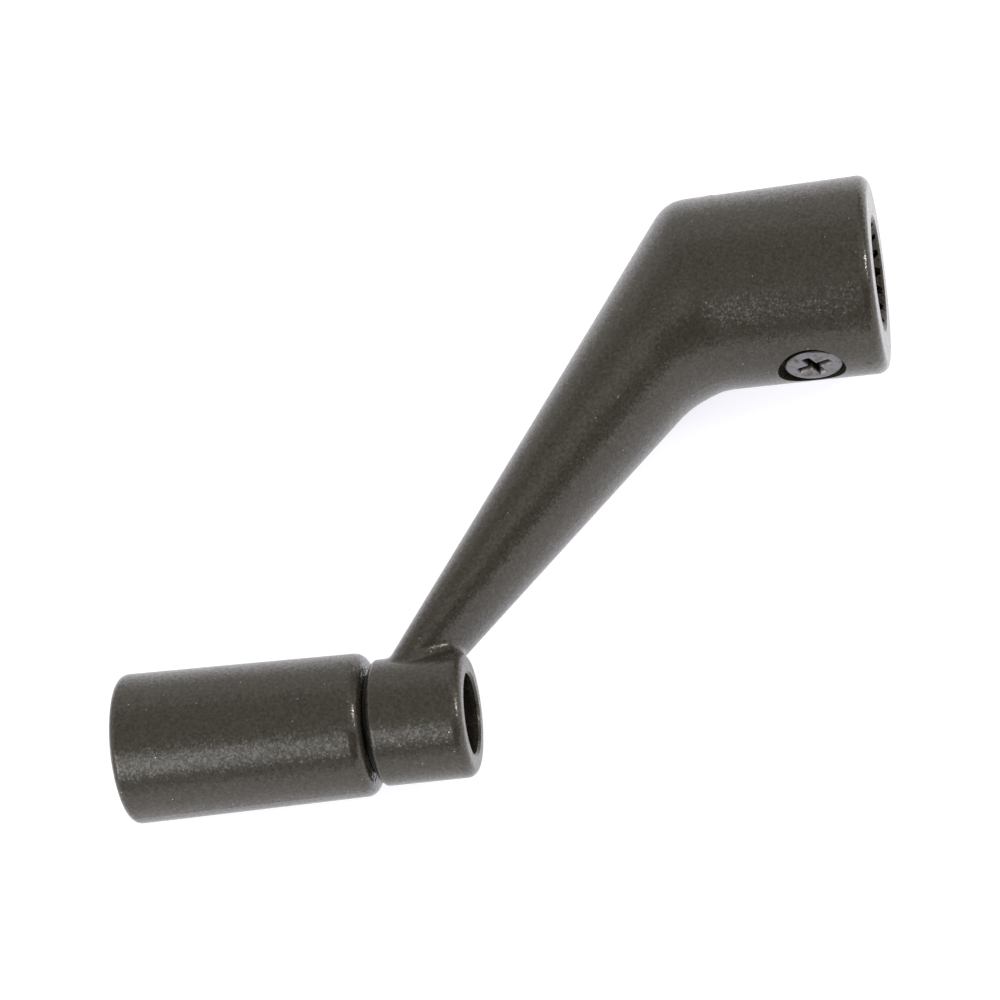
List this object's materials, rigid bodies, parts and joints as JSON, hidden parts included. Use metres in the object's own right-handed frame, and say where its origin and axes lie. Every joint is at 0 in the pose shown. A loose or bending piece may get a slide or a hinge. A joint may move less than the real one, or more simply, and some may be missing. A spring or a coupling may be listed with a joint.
{
  "type": "crank handle",
  "caption": "Crank handle for a casement window: a bent, tapering arm with a splined hub and set screw at one end and a free-turning knob at the other.",
  "frame": {"origin": "centre of the hub's mouth, on the axis of its splined socket", "axes": "+X leaves the mouth along the socket's axis; the knob's axis is parallel to it on the -Y side; +Z is square to the plane of both axes, and the crank lies on its side"},
  "size_m": [0.0673, 0.0513, 0.017],
  "materials": {
    "bronze_paint": "satin dark bronze with fine metallic flakes",
    "pin_steel": "dark oxide",
    "screw_steel": "grey plating, worn at the recess"
  },
  "bodies": {
    "crank": {"crank_arm": "bronze_paint", "thrust_washer": "pin_steel"},
    "grip": {"knob": "bronze_paint", "knob_pin": "pin_steel"},
    "screw": {"set_screw": "screw_steel"}
  },
  "joints": [
    {"name": "knob_spin", "type": "hinge", "parent": "crank", "child": "grip", "pos_m": [-0.0451, -0.0365, 0], "axis": [-1, 0, 0], "continuous": true},
    {"name": "set_screw_travel", "type": "slide", "parent": "crank", "child": "screw", "axis": [0, 1, 0], "range_m": [-0.0015, 0.0003]}
  ]
}
